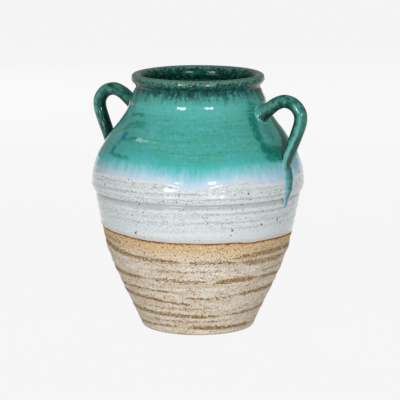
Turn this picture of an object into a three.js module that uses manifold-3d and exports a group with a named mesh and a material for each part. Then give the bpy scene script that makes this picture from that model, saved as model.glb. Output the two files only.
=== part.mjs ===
// Amphora vase: a thrown pot of three luted sections with two pulled handles.
// Millimetres, +Z up. The origin is on the table, at the centre of the foot, and the handles lie in the XZ plane.

import * as THREE from 'three';
import { mergeVertices } from 'three/addons/utils/BufferGeometryUtils.js';
import Module from 'manifold-3d';

const degrees = THREE.MathUtils.degToRad;

// Heights: the seam and the waist above the table, and the rim above the waist
const seamHeight = 162;
const waistHeight = 284;
const collarHeight = 16;

// Outside radii
const footRadius = 67.3;
const seamRadius = 119.2;
const bellyRadius = 123.9;
const shoulderRadius = 119.4;
const shoulderMiddleRadius = 105.6;
const neckFootRadius = 86.3;
const neckRadius = 78.6;
const waistRadius = 72.5;
const lipRadius = 78.2;

// Where the radii of the upper wall hold, as shares of its rise from the seam to the waist
const bellyShare = 0.11;
const shoulderShare = 0.285;
const shoulderMiddleShare = 0.5;
const neckFootShare = 0.72;
const neckShare = 0.87;

// Foot
const footRounding = 6.5;
const footRingWidth = 12;
const footRecessDepth = 2;
const footRecessSlope = 1.5;

// Lower wall: its lean from upright at each end, and the share of its height that each lean shapes
const footLean = degrees(24.7);
const footLeanShare = 0.43;
const seamLean = degrees(8);
const seamLeanShare = 0.53;

// The belly overhangs the seam, with a rounded lower edge
const overhang = 2.4;
const overhangRounding = 2.2;

// Floor and wall
const floorThickness = 10;
const floorCornerRadius = 20;
const footWall = 9.5;
const seamWall = 8;
const neckWall = 7.6;

// Throwing rings on the outside
const ringPitch = 23;
const ringDepth = 0.9;
const ringStart = 9;

// Lip: an oval roll above the groove of the waist
const lipWidth = 13.2;
const lipThickness = 9;
const lipFlare = degrees(-38);

// Luted joints: a tongue on the inner half of one wall, in a rebate of the wall above
const tongueHeight = 5;
const tongueShare = 0.5;
const slip = 0.3;

// Handles: how far they stand out from the neck, lie below the waist, and where their roots meet the wall
const handleThickness = 15.4;
const handleSpan = 59.4;
const handleDrop = 2.3;
const bendRadius = 20;
const upperRootDrop = 28.5;
const lowerRootRise = 43;
const rootDepth = 14;
const strapWidth = 18.6;
const strapThickness = 9;
const rootSwell = 2.4;
const rootSwellLength = 32;

// Fineness of the mesh
const segments = 48;
const stepsPerRing = 4;
const insideSteps = 13;
const outlineSteps = 200;
const handleSides = 18;
const handleStep = 4.5;

const wasm = await Module();
wasm.setup();

const clay = new THREE.MeshStandardMaterial({ color: 0xc9bca8, roughness: 0.8, metalness: 0 });
const tealGlaze = new THREE.MeshStandardMaterial({ color: 0x50a8a2, roughness: 0.15, metalness: 0 });
const darkGlaze = new THREE.MeshStandardMaterial({ color: 0x2f625c, roughness: 0.15, metalness: 0 });

const at = (radius, height) => new THREE.Vector2(radius, height);

// Outline of the lower wall, from the foot up to the seam
function lowerOutline() {
  const height = seamHeight - footRounding;
  const footRise = footLeanShare * height;
  const seamDrop = seamLeanShare * height;
  return new THREE.CubicBezierCurve(
    at(footRadius, footRounding),
    at(footRadius + footRise * Math.tan(footLean), footRounding + footRise),
    at(seamRadius - seamDrop * Math.tan(seamLean), seamHeight - seamDrop),
    at(seamRadius, seamHeight),
  );
}

// Outline of the belly, the shoulder and the neck, from the overhang up to the waist
function upperOutline() {
  const risen = (share) => THREE.MathUtils.lerp(seamHeight, waistHeight, share);
  return new THREE.SplineCurve([
    at(seamRadius + overhang, seamHeight + slip + overhangRounding),
    at(bellyRadius, risen(bellyShare)),
    at(shoulderRadius, risen(shoulderShare)),
    at(shoulderMiddleRadius, risen(shoulderMiddleShare)),
    at(neckFootRadius, risen(neckFootShare)),
    at(neckRadius, risen(neckShare)),
    at(waistRadius, waistHeight),
  ]);
}

// A point beside a curve, moved square to it: outwards, or inwards where the distance is negative
function beside(curve, t, distance) {
  const point = curve.getPointAt(t);
  const tangent = curve.getTangentAt(t);
  return at(point.x + tangent.y * distance, point.y - tangent.x * distance);
}

// Points up the outside of a wall, with the throwing rings, which fade out at both ends
function thrownWall(curve, clearance = 0) {
  const steps = Math.round((stepsPerRing * curve.getLength()) / ringPitch);
  const points = [];
  for (let i = 0; i <= steps; i += 1) {
    const height = curve.getPointAt(i / steps).y;
    const fade = Math.min(1, (2 * Math.min(i, steps - i)) / stepsPerRing);
    const wave = Math.cos((2 * Math.PI * (height - ringStart)) / ringPitch);
    points.push(beside(curve, i / steps, clearance + 0.5 * ringDepth * fade * wave));
  }
  return points;
}

// Points down the inside of a wall, whose thickness changes evenly from its foot to its top
function insideWall(curve, wallBelow, wallAbove) {
  const points = [];
  for (let i = insideSteps; i >= 0; i -= 1) {
    const t = i / insideSteps;
    points.push(beside(curve, t, -THREE.MathUtils.lerp(wallBelow, wallAbove, t)));
  }
  return points;
}

// Radii of a luted joint: the inside of the wall, and the face between tongue and rebate
function jointRadii(outerRadius, wall) {
  const inside = outerRadius - wall;
  return { inside, face: inside + tongueShare * wall };
}

function turned(profile) {
  const geometry = new THREE.LatheGeometry(profile, segments);
  geometry.rotateX(Math.PI / 2);
  return geometry;
}

function lowerSection() {
  const outline = lowerOutline();
  const joint = jointRadii(seamRadius, seamWall);
  const standingRadius = footRadius - footRounding;
  const recessRadius = standingRadius - footRingWidth;
  const footEdge = new THREE.Path();
  footEdge.absarc(standingRadius, footRounding, footRounding, -Math.PI / 2, 0, false);

  const cornerTop = floorThickness + floorCornerRadius;
  const wallTop = seamHeight - tongueHeight;
  const inside = insideWall(outline, footWall, seamWall).filter((p) => p.y > cornerTop && p.y < wallTop);
  const low = inside[inside.length - 1];
  const corner = at(low.x - (low.y - floorThickness) * Math.tan(footLean), floorThickness);
  const floorEdge = at(corner.x - floorCornerRadius, floorThickness);
  const floorCorner = new THREE.QuadraticBezierCurve(low, corner, floorEdge);

  return turned([
    at(0, footRecessDepth),
    at(recessRadius - footRecessSlope, footRecessDepth),
    at(recessRadius, 0),
    ...footEdge.getPoints(3),
    ...thrownWall(outline).slice(1),
    at(joint.face, seamHeight),
    at(joint.face, seamHeight + tongueHeight),
    at(joint.inside, seamHeight + tongueHeight),
    ...inside,
    ...floorCorner.getPoints(4).slice(1),
    at(0, floorThickness),
  ]);
}

function upperSection() {
  const outline = upperOutline();
  const lower = jointRadii(seamRadius, seamWall);
  const upper = jointRadii(waistRadius, neckWall);
  const edge = new THREE.Path();
  const edgeRadius = seamRadius + overhang - overhangRounding;
  edge.absarc(edgeRadius, seamHeight + slip + overhangRounding, overhangRounding, -Math.PI / 2, 0, false);

  const bottom = seamHeight + tongueHeight + slip;
  const inside = insideWall(outline, seamWall, neckWall);
  const clear = inside.filter((p) => p.y > bottom + tongueHeight && p.y < waistHeight - tongueHeight);
  const start = at(lower.face + slip, seamHeight + slip);

  return turned([
    start,
    ...edge.getPoints(2),
    ...thrownWall(outline).slice(1),
    at(upper.face, waistHeight),
    at(upper.face, waistHeight + tongueHeight),
    at(upper.inside, waistHeight + tongueHeight),
    ...clear,
    at(lower.inside, bottom),
    at(lower.face + slip, bottom),
    start,
  ]);
}

function rimCollar() {
  const joint = jointRadii(waistRadius, neckWall);
  const lipCentre = at(lipRadius - lipWidth / 2, waistHeight + collarHeight - lipThickness / 2);
  const bottom = waistHeight + tongueHeight + slip;
  const outside = new THREE.Path();
  outside.moveTo(waistRadius, waistHeight + slip);
  const flareEnd = at(
    lipCentre.x + (lipWidth / 2) * Math.cos(lipFlare),
    lipCentre.y + (lipThickness / 2) * Math.sin(lipFlare),
  );
  outside.quadraticCurveTo(waistRadius, (waistHeight + slip + flareEnd.y) / 2, flareEnd.x, flareEnd.y);
  const roll = new THREE.Path();
  roll.absellipse(lipCentre.x, lipCentre.y, lipWidth / 2, lipThickness / 2, lipFlare, Math.PI, false, 0);
  const start = at(joint.face + slip, waistHeight + slip);

  return turned([
    start,
    ...outside.getPoints(3),
    ...roll.getPoints(10).slice(1),
    at(joint.inside, bottom),
    at(joint.face + slip, bottom),
    start,
  ]);
}

// The point of an outline at a height
function wallPoint(outline, height) {
  const points = outline.getPoints(outlineSteps);
  const above = points.findIndex((point) => point.y >= height);
  const share = (height - points[above - 1].y) / (points[above].y - points[above - 1].y);
  return points[above - 1].clone().lerp(points[above], share);
}

// Centreline of the right handle in the XZ plane: an arm rises from the neck to the bend, touching its circle,
// and another leads on from it down to the shoulder. Both run on into the wall by the depth of the root.
function handleLine() {
  const outline = upperOutline();
  const inset = handleThickness / 2 + bendRadius;
  const upperRoot = wallPoint(outline, waistHeight - upperRootDrop);
  const lowerRoot = wallPoint(outline, seamHeight + lowerRootRise);
  const centre = at(upperRoot.x + handleSpan - inset, waistHeight - handleDrop - inset);
  const toCentre = centre.clone().sub(upperRoot);
  const fromCentre = lowerRoot.clone().sub(centre);
  const rise = toCentre.angle() + Math.asin(bendRadius / toCentre.length());
  const fall = fromCentre.angle() - Math.asin(bendRadius / fromCentre.length());
  const towards = (angle, distance) => at(Math.cos(angle), Math.sin(angle)).multiplyScalar(distance);
  const start = upperRoot.add(towards(rise, -rootDepth));
  const bendStart = centre.clone().add(towards(rise + Math.PI / 2, bendRadius));
  const end = lowerRoot.add(towards(fall, rootDepth));
  const line = new THREE.Path();
  line.moveTo(start.x, start.y);
  line.lineTo(bendStart.x, bendStart.y);
  line.absarc(centre.x, centre.y, bendRadius, rise + Math.PI / 2, fall + Math.PI / 2, true);
  line.lineTo(end.x, end.y);
  return line;
}

// A round bar along the line, swollen at its upper root and drawn out to a flat strap at its lower end
function handleBar() {
  const line = handleLine();
  const length = line.getLength();
  const lowerArmStart = length - line.curves[2].getLength();
  const stations = Math.round(length / handleStep);
  const positions = [];
  const faces = [];
  for (let i = 0; i <= stations; i += 1) {
    const along = (i / stations) * length;
    const point = line.getPointAt(i / stations);
    const tangent = line.getTangentAt(i / stations);
    const strap = THREE.MathUtils.smoothstep(along, lowerArmStart, length);
    const swell = rootSwell * (1 - THREE.MathUtils.smoothstep(along, 0, rootSwellLength));
    const halfWidth = (THREE.MathUtils.lerp(handleThickness, strapWidth, strap) + swell) / 2;
    const halfThickness = (THREE.MathUtils.lerp(handleThickness, strapThickness, strap) + swell) / 2;
    for (let j = 0; j < handleSides; j += 1) {
      const angle = (2 * Math.PI * j) / handleSides;
      const out = halfThickness * Math.cos(angle);
      positions.push(point.x - tangent.y * out, halfWidth * Math.sin(angle), point.y + tangent.x * out);
    }
  }
  for (let i = 0; i < stations; i += 1) {
    for (let j = 0; j < handleSides; j += 1) {
      const a = i * handleSides + j;
      const b = i * handleSides + ((j + 1) % handleSides);
      faces.push(a, a + handleSides, b, b, a + handleSides, b + handleSides);
    }
  }
  const last = stations * handleSides;
  for (let j = 1; j < handleSides - 1; j += 1) {
    faces.push(0, j, j + 1, last, last + j + 1, last + j);
  }
  const geometry = new THREE.BufferGeometry();
  geometry.setAttribute('position', new THREE.Float32BufferAttribute(positions, 3));
  geometry.setIndex(faces);
  return geometry;
}

function toSolid(geometry) {
  const bare = geometry.clone();
  bare.deleteAttribute('normal');
  bare.deleteAttribute('uv');
  const merged = mergeVertices(bare);
  return new wasm.Manifold(new wasm.Mesh({
    numProp: 3,
    vertProperties: merged.attributes.position.array,
    triVerts: Uint32Array.from(merged.index.array),
  }));
}

function toGeometry(solid) {
  const mesh = solid.getMesh();
  const geometry = new THREE.BufferGeometry();
  geometry.setAttribute('position', new THREE.BufferAttribute(mesh.vertProperties, 3));
  geometry.setIndex(new THREE.BufferAttribute(mesh.triVerts, 1));
  geometry.computeVertexNormals();
  return geometry;
}

// The bar's ends are cut to the round of the wall, so that both roots lie on it all over
function handle() {
  const wall = thrownWall(upperOutline(), slip);
  const core = waistRadius / 2;
  const seat = turned([at(core, wall[0].y), ...wall, at(core, wall[wall.length - 1].y), at(core, wall[0].y)]);
  return toGeometry(toSolid(handleBar()).subtract(toSolid(seat)));
}

function piece(name, geometry, material) {
  const mesh = new THREE.Mesh(geometry, material);
  mesh.name = name;
  return mesh;
}

const handleGeometry = handle();
const handleLeft = piece('handle_left', handleGeometry, tealGlaze);
handleLeft.rotation.z = Math.PI;

const vase = new THREE.Group();
vase.add(piece('lower_section', lowerSection(), clay));
vase.add(piece('upper_section', upperSection(), tealGlaze));
vase.add(piece('rim_collar', rimCollar(), darkGlaze));
vase.add(piece('handle_right', handleGeometry, tealGlaze));
vase.add(handleLeft);

export default vase;
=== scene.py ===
from math import cos, hypot, pi, radians, sin

import bmesh
import bpy
import numpy as np
from bpy.props import FloatProperty, FloatVectorProperty, IntProperty, PointerProperty
from mathutils import Matrix, Vector
from mathutils.geometry import interpolate_bezier


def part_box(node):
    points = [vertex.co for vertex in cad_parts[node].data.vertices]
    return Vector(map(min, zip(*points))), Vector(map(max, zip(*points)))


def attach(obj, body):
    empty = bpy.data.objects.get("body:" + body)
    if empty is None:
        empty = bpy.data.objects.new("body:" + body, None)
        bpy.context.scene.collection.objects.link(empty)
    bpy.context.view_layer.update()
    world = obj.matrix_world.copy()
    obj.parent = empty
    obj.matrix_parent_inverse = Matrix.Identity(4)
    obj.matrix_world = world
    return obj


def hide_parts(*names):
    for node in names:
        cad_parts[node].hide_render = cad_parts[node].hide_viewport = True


bl_info = {
    "name": "Thrown amphora vase",
    "version": (1, 0, 0),
    "blender": (4, 5, 0),
    "location": "View3D > Sidebar > Vase",
    "description": "Builds a thrown and glazed vase with two pulled handles round its packed frame",
    "category": "Add Mesh",
}

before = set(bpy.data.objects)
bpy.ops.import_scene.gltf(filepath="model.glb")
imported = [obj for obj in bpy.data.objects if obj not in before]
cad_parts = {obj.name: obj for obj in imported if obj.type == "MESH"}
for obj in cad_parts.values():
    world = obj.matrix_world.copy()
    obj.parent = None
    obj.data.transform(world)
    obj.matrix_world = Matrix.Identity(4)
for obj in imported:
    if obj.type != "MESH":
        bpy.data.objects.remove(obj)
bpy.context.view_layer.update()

MM = 0.001
BODY = "root"

# The direction that the picture is taken from, in degrees round from the front of the frame
FRONT_AZIMUTH = 29.5

# A wall is spun as one of this many parts, which is then doubled round the axis
SPIN_PARTS = 16

# Steps of a smooth curve between two points of a wall's outline, and of the lip's
OUTLINE_STEPS = 12
LIP_STEPS = 5

# Points round the foot's lower edge, and round the corner between floor and wall
FOOT_POINTS = 7
CORNER_POINTS = 8

# Points closer than this are one
WELD = 0.01 * MM

# Distances over which a wall's relief grows to full from its ends, and the rim's lean from its foot
EDGE_EASE = 2.5 * MM
RIM_EASE = 8.0 * MM

# Distance in from a wall's outline up to which a point lies on the outside, and beyond which it lies inside
OUTLINE_SLACK = 0.5 * MM
SKIN = 3.0 * MM

# How far the lower wall's hidden edge bulges out, the rise up to there, and how far in its top lies
SEAM_BULGE = 0.3 * MM
SEAM_RISE = 2.0 * MM
SEAM_TAPER = 0.6 * MM

# Points under the belly's edge: distance in from it and height above its underside, in millimetres
OVERHANG = ((3.0, 0.4), (1.2, 0.2))

# Radii from the crest of the lip to the inside, over which the glaze of the inside sets in
LIP_CREST = (71.0 * MM, 66.0 * MM)

# How far the throwing rings leave the level and a ridge its own height, in millimetres
RING_TILT = 1.1
RIDGE_SWAY = 0.9

# The lines that fingers leave: strength, spacing in millimetres, wandering, and the seed of their waves
FINGER_LINES = ((0.26, 3.4, 1.5, 1.3), (0.36, 5.7, 2.0, 2.6), (0.44, 8.9, 2.5, 3.9))

# A radius in millimetres at which the lengths of brush strokes are reckoned
MIDDLE_RADIUS = 100.0

# The share of its width and strength that a stroke keeps at its ends, and the share of its way that they take
STROKE_END = 0.4
STROKE_TAPER = 0.2

# Outlines as radius and height in millimetres: the foot to the seam, the seam to the waist, and the lip
LOWER_OUTLINE = (
    (67.3, 6.5), (71.2, 15.0), (78.2, 30.0), (85.4, 45.0), (92.3, 60.0), (98.8, 75.0),
    (104.4, 90.0), (108.6, 105.0), (112.0, 120.0), (114.9, 135.0), (117.5, 150.0), (119.7, 159.0),
)
UPPER_OUTLINE = (
    (121.7, 163.6), (123.0, 167.5), (123.8, 174.0), (123.5, 181.0), (122.0, 190.5), (119.3, 199.0),
    (114.1, 210.5), (104.4, 226.0), (91.2, 244.0), (82.4, 257.5), (78.0, 270.0), (74.0, 280.3), (73.0, 282.6),
    (72.7, 284.0),
)
LIP_OUTLINE = (
    (72.6, 284.3), (73.6, 287.2), (75.8, 290.0), (77.6, 292.3), (78.1, 293.9), (77.9, 295.5), (77.55, 297.1),
    (76.8, 298.5), (75.2, 299.6), (72.8, 300.0), (69.4, 299.2), (66.7, 297.2), (65.3, 293.8), (64.9, 289.5),
)

# Throwing ridges as height, rise and half width in millimetres
RIDGES = (
    (9.5, 0.5, 4.0), (17.5, 0.3, 2.5), (25.8, 0.9, 4.0), (35.0, 0.3, 2.5), (46.0, 1.0, 5.0), (57.0, 0.6, 3.0),
    (70.5, 1.1, 4.8), (80.0, 0.5, 3.0), (95.5, 1.4, 5.0), (102.0, 0.5, 2.5), (111.5, 0.6, 3.0),
    (124.5, 0.8, 4.0), (133.5, 0.6, 2.8), (144.0, 0.85, 3.8), (152.5, 0.7, 3.2),
    (171.0, 0.85, 2.6), (178.5, 0.2, 2.2), (207.0, 0.5, 4.5), (233.0, 0.3, 5.0), (270.6, 0.65, 3.4),
)

# Glaze lines as angle in degrees, from the picture's middle to the right, and height in millimetres
WHITE_GLAZE_FOOT = (
    (-150, 118.5), (-110, 121.5), (-73, 123.0), (-50, 121.4), (-30, 118.9), (-15, 118.4), (3, 118.1),
    (20, 117.8), (32, 116.4), (47, 116.8), (62, 116.5), (80, 115.0), (115, 114.2), (160, 116.5),
)
BLUE_GLAZE_FOOT = (
    (-160, 187.0), (-110, 184.0), (-74, 186.0), (-50, 191.5), (-33, 189.3), (-18, 186.8), (-8, 182.3),
    (1, 181.5), (7, 183.0), (13, 185.8), (25, 189.0), (32, 185.4), (50, 182.4), (75, 186.0), (110, 190.0),
    (150, 183.0),
)
TEAL_GLAZE_FOOT = (
    (-160, 202.0), (-110, 199.0), (-74, 201.5), (-58, 203.6), (-47, 205.8), (-35, 205.8), (-18, 202.8),
    (-9, 200.5), (0, 198.6), (8, 202.0), (20, 204.0), (35, 204.4), (50, 202.2), (80, 205.0), (110, 201.0),
    (150, 199.0),
)

# Heights in millimetres between which the white glaze ends, where the rows of the mesh are finer
WHITE_GLAZE_EDGE = (112.0, 126.0)

# How far each glaze line leaves the smooth one through its stations, in millimetres
WHITE_RAGGED = 0.35
BLUE_RAGGED = 0.7
TEAL_RAGGED = 0.8

# Height over the white glaze's line at which its thickness begins and is full, in millimetres
WHITE_EDGE = (-0.4, 0.6)

# The rolls in which the white and the blue glaze end: height over their lines and half width in millimetres
WHITE_ROLL = (1.5, 1.3)
BLUE_ROLL = (1.2, 2.2)

# Heights over the white and the blue line between which the depth of the throwing lines changes
WHITE_FILLING = (-1.0, 4.0)
BLUE_FILLING = (-4.0, 2.0)

# Brushed oxide on the ridges: strength, half width in millimetres, and points as angle and height
OXIDE_STROKES = (
    (0.60, 1.6, ((-84, 113.5), (-66, 112.2), (-50, 110.0))),
    (1.20, 2.6, ((-88, 108.0), (-74, 104.3), (-53, 98.5), (-40, 96.8))),
    (0.95, 2.2, ((-48, 97.6), (-28, 95.7), (-9, 94.8))),
    (0.70, 2.0, ((-8, 94.5), (14, 94.6), (28, 92.5))),
    (0.75, 3.2, ((24, 92.5), (42, 91.0), (73, 91.0))),
    (0.90, 2.8, ((20, 98.6), (46, 101.3), (64, 101.8), (86, 100.0))),
    (0.30, 1.6, ((30, 105.5), (48, 107.5), (66, 108.5))),
    (1.00, 2.0, ((-88, 71.5), (-70, 72.6), (-50, 71.4), (-36, 71.2))),
    (0.60, 2.4, ((-38, 71.2), (-10, 70.4), (9, 70.4))),
    (1.60, 2.3, ((10, 68.4), (25, 71.0), (44, 71.1))),
    (1.35, 1.7, ((44, 71.3), (60, 70.2), (82, 67.0))),
    (0.65, 1.1, ((44, 77.8), (62, 79.6), (84, 80.4))),
    (0.80, 1.2, ((-86, 55.6), (-50, 57.0), (-30, 56.4), (-12, 56.0))),
    (1.00, 2.1, ((-84, 48.0), (-44, 45.7), (-30, 43.6), (-20, 41.8))),
    (0.75, 1.8, ((-24, 42.3), (-5, 40.8))),
    (0.80, 1.4, ((-14, 49.3), (9, 48.6), (31, 51.4))),
    (1.05, 2.2, ((28, 51.4), (48, 52.8), (84, 53.2))),
    (1.05, 2.0, ((-86, 29.5), (-52, 27.0), (-30, 25.9), (0, 25.2), (24, 25.2))),
    (0.75, 1.8, ((24, 25.2), (50, 27.5), (84, 29.5))),
    (0.75, 1.6, ((-84, 9.2), (-40, 10.8), (-14, 11.0))),
    (0.95, 2.4, ((-14, 11.0), (18, 9.9), (66, 9.0))),
    (0.50, 1.4, ((-62, 19.0), (-30, 17.6), (2, 17.8), (30, 18.6))),
    (0.45, 1.3, ((-60, 36.5), (-20, 34.5), (20, 35.6))),
    (0.45, 1.4, ((-40, 83.5), (-10, 82.4), (25, 84.0))),
    (0.80, 2.6, ((96, 98.0), (130, 94.0), (170, 96.5))),
    (0.95, 2.2, ((-178, 97.0), (-140, 100.5), (-100, 106.5))),
    (1.30, 2.2, ((92, 69.0), (130, 71.5), (178, 70.0))),
    (0.75, 1.8, ((-170, 72.5), (-130, 70.0), (-104, 71.5))),
    (0.95, 1.9, ((100, 50.0), (140, 45.5), (175, 46.0))),
    (0.80, 1.6, ((-165, 55.5), (-125, 57.0), (-100, 56.0))),
    (0.55, 1.4, ((110, 82.0), (150, 83.5), (190, 82.5))),
    (1.00, 2.0, ((92, 29.5), (135, 25.5), (178, 27.0))),
    (0.80, 1.9, ((-176, 27.5), (-130, 29.0), (-98, 28.5))),
    (0.80, 1.9, ((-175, 10.0), (-130, 12.5), (-96, 9.5))),
    (0.85, 2.0, ((92, 10.0), (130, 8.5), (176, 10.5))),
)

# Thick, clear places of the teal glaze, and painted shade, shadow and reflection by the right handle, in the
# same form
DEEP_STROKES = (
    # The next four strokes, an L round the right handle's bend, are thick glaze and a painted reflection of
    # the right handle
    (0.60, 10.0, ((53, 275), (50, 262), (47, 250))),
    (0.85, 6.5, ((48, 262), (46, 246), (45, 236), (45, 226))),
    (1.05, 7.0, ((44, 232), (46, 222), (52, 217.5), (58, 216), (66, 216))),
    (0.80, 5.5, ((42, 212.5), (50, 211.5), (62, 211.0))),
    # Painted shadow of the right handle on the wall behind it
    (1.50, 7.0, ((82, 258), (77, 244), (75, 232), (70, 220), (62, 213))),
    (0.45, 9.0, ((60, 250), (57, 234), (60, 226))),
    (0.65, 2.4, ((-70, 255.0), (-58, 256.8), (-46, 258.0))),
    (0.60, 4.6, ((-68, 239), (-56, 246.5), (-40, 249.0))),
    (0.70, 11.0, ((-100, 270), (-78, 268), (-60, 276))),
    (0.55, 8.0, ((-100, 246), (-80, 248), (-66, 252))),
    # Painted shade by the right handle's upper root, together with dark glaze
    (0.80, 9.0, ((62, 280), (80, 272), (100, 268))),
    (0.65, 2.1, ((-58, 229), (-50, 232), (-43, 233.6))),
    (0.70, 2.2, ((-67, 213.6), (-55, 212.6), (-42, 211.2))),
    (0.45, 1.1, ((-19, 220.6), (-6, 221.5))),
    (0.30, 1.0, ((-36, 222.3), (-20, 223.3))),
    (0.60, 3.4, ((118, 246), (140, 243))),
    (0.80, 4.0, ((-124, 216), (-112, 222), (-106, 236))),
    (0.50, 2.0, ((150, 222), (172, 219))),
)

# Blue dabs in the teal glaze, and pale strokes that are partly glaze and partly a painted reflection streak
# on the left shoulder, in the same form
BLUE_STROKES = (
    (1.25, 4.2, ((-56.4, 236.5), (-60.2, 228.5))),
    (0.62, 3.6, ((-54.4, 240.0), (-58.6, 232.0), (-62.2, 219.0))),
    (1.20, 3.4, ((-61.2, 222.0), (-62.8, 213.0))),
    (0.60, 3.0, ((128, 238), (126, 224))),
)
PALE_STROKES = (
    # These three pale strokes are a painted reflection streak across the left shoulder
    (0.95, 2.1, ((-45.0, 231.8), (-38.5, 231.8))),
    (0.60, 1.8, ((-42.0, 231.4), (-32.5, 231.2))),
    (0.42, 1.5, ((-38.0, 231.2), (-24.0, 231.0))),
    (0.32, 7.0, ((-38, 250.0), (-33, 243.0), (-36, 236.0))),
    (0.50, 1.1, ((-69, 238.5), (-61, 248.0))),
    (0.45, 1.1, ((-71, 228.0), (-63.5, 236.5))),
)

# What the shaders follow of the brush's work and of the painted shade and reflection laid as strokes: its
# strokes, and how soft their edges are
BRUSHED = {
    "oxide": (OXIDE_STROKES, 0.9),
    "deep": (DEEP_STROKES, 0.6),
    "azure": (BLUE_STROKES, 0.6),
    "pale": (PALE_STROKES, 0.7),
}

# Centre line of the right handle in millimetres, with its width and thickness there
HANDLE_ROUTE = (
    (78.0, 0.0, 251.5, 24.0, 24.0), (84.0, 0.0, 256.2, 20.6, 20.6), (88.0, 0.0, 259.1, 17.6, 17.6),
    (94.0, 0.0, 263.4, 16.2, 16.0), (103.4, 0.0, 270.2, 15.6, 15.4), (114.5, 0.0, 274.0, 15.4, 15.4),
    (126.0, 0.0, 270.8, 15.4, 15.4), (133.6, 0.0, 261.6, 15.5, 15.4), (134.6, 0.0, 251.0, 15.8, 15.2),
    (130.4, -0.3, 237.0, 16.6, 14.6), (125.0, -1.2, 222.5, 18.6, 13.0), (121.0, -2.4, 209.0, 20.2, 9.8),
    (119.8, -3.4, 201.0, 16.0, 7.0), (120.6, -4.2, 195.5, 8.0, 4.0),
)

# How far along the handle, in millimetres, its round bar turns into a ridged strap
STRAP_SPAN = (90.0, 130.0)

# The power that keeps the strap's ridge narrow
RIDGE_POWER = 6

# The bead round a handle's joint: points round it, sides, and waves of its radius
BEAD_POINTS = 72
BEAD_SIDES = 12
BEAD_WAVES = 2

# The way along the bar on which the bead's place on the wall is looked for, and how often it is halved
BEAD_SEARCH = (-30.0 * MM, 20.0 * MM)
BEAD_HALVINGS = 24

# Glaze that ran down from the right handle: angle, height, half width and how proud it stands in millimetres
RUN_ROUTE = (
    (60.2, 207.0, 9.5, 1.0), (59.8, 199.0, 13.0, 1.8), (59.8, 193.0, 14.2, 2.1), (59.0, 184.0, 13.2, 2.0),
    (57.9, 175.0, 11.2, 1.8), (57.2, 168.0, 8.8, 1.7), (56.8, 161.0, 6.2, 1.5), (56.9, 155.5, 4.6, 1.2),
    (57.2, 151.0, 2.2, 0.5),
)

# The run's threads: share of how proud it stands, place across it from -1 to 1, and half width
RUN_THREADS = ((0.75, -0.55, 0.28), (1.0, 0.15, 0.36))

# Thickness of the film that the threads stand on, and how deep its edges are tucked in, in millimetres
RUN_FILM = 0.25
RUN_TUCK = 0.5

# The power that keeps the tuck close to the edges
TUCK_POWER = 8

# Mesh columns across the run, and steps between two points of its route
RUN_COLUMNS = 24
RUN_STEPS = 10

# Heights in millimetres over which the run goes from the lower wall on to the upper one
SEAM_SPAN = (151.0, 163.5)

# Corners of the studio's round floor
FLOOR_SIDES = 96


def tint(code):
    """A colour in six figures as the linear numbers that a shader takes."""
    parts = [int(code[i:i + 2], 16) / 255 for i in (0, 2, 4)]
    return tuple(p / 12.92 if p <= 0.04045 else ((p + 0.055) / 1.055) ** 2.4 for p in parts)


def length(name, description, default):
    return FloatProperty(name=name, description=description, default=default, min=0.0, unit="LENGTH")


def angle_size(name, description, default):
    return FloatProperty(name=name, description=description, default=radians(default), subtype="ANGLE")


def number(name, description, default):
    return FloatProperty(name=name, description=description, default=default)


def colour(name, description, code):
    return FloatVectorProperty(
        name=name, description=description, subtype="COLOR", size=3, min=0.0, max=1.0, default=tint(code))


class ThrowingSizes(bpy.types.PropertyGroup):
    """Sizes of the thrown walls."""
    columns: IntProperty(
        name="Columns", description="Mesh columns in a sixteenth of the wall", default=26, min=2)
    row: length("Row", "Height of a row of the mesh on the outside", 1.0 * MM)
    fine_row: length("Fine row", "Height of a row where the white glaze ends", 0.5 * MM)
    inner_row: length("Inner row", "Height of a row on the inside", 5.0 * MM)
    wall: length("Wall", "Thickness of the wall", 8.4 * MM)
    floor: length("Floor", "Thickness of the floor", 10.0 * MM)
    floor_corner: length("Floor corner", "Radius of the round between floor and wall inside", 20.0 * MM)
    foot_rounding: length("Foot rounding", "Radius of the foot's lower edge", 6.5 * MM)
    foot_ring: length("Foot ring", "Width of the ring that the vase stands on", 12.0 * MM)
    foot_recess: length("Foot recess", "Depth of the recess under the floor", 2.0 * MM)
    recess_slope: length("Recess slope", "How far the recess under the floor narrows upwards", 1.5 * MM)
    seam_lap: length("Seam lap", "How far the lower wall reaches up behind the belly's edge", 1.5 * MM)
    seam_gap: length("Seam gap", "Gap between the belly's edge and the foot of its solid", 0.7 * MM)
    glaze: length("Glaze", "Thickness of the white glaze", 0.6 * MM)
    glaze_roll: number("Glaze roll", "Share by which the white glaze is thicker at its edge", 0.45)
    blue_glaze: length("Second glaze", "Thickness of the roll where the blue glaze ends", 0.45 * MM)
    clay_lines: length("Clay lines", "Depth of the fine throwing lines in the clay", 0.20 * MM)
    white_lines: length("White lines", "Depth of the fine throwing lines under the white glaze", 0.22 * MM)
    teal_lines: length("Teal lines", "Depth of the fine throwing lines under the teal glaze", 0.05 * MM)
    lean: length("Lean", "How far the wall leaves the round", 0.5 * MM)
    rim_dip: length("Rim dip", "Half the way that the lip dips on its lower side", 0.35 * MM)


class HandleSizes(bpy.types.PropertyGroup):
    """Sizes and fineness of the pulled handles and their joints."""
    sides: IntProperty(name="Sides", description="Points round the bar", default=48, min=8)
    steps: IntProperty(name="Steps", description="Rings between two points of the route", default=12, min=2)
    unevenness: length("Unevenness", "How far the pulled bar leaves the even form", 0.21 * MM)
    swell: number("Swell", "Share by which the bar's width comes and goes", 0.015)
    ridge: number("Ridge", "Share by which the strap's ridge stands out", 0.10)
    joint_bead: length("Joint bead", "Radius of the clay pressed round the upper joint", 1.8 * MM)
    bead_change: number("Bead change", "Share by which the bead's radius comes and goes", 0.2)


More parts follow.
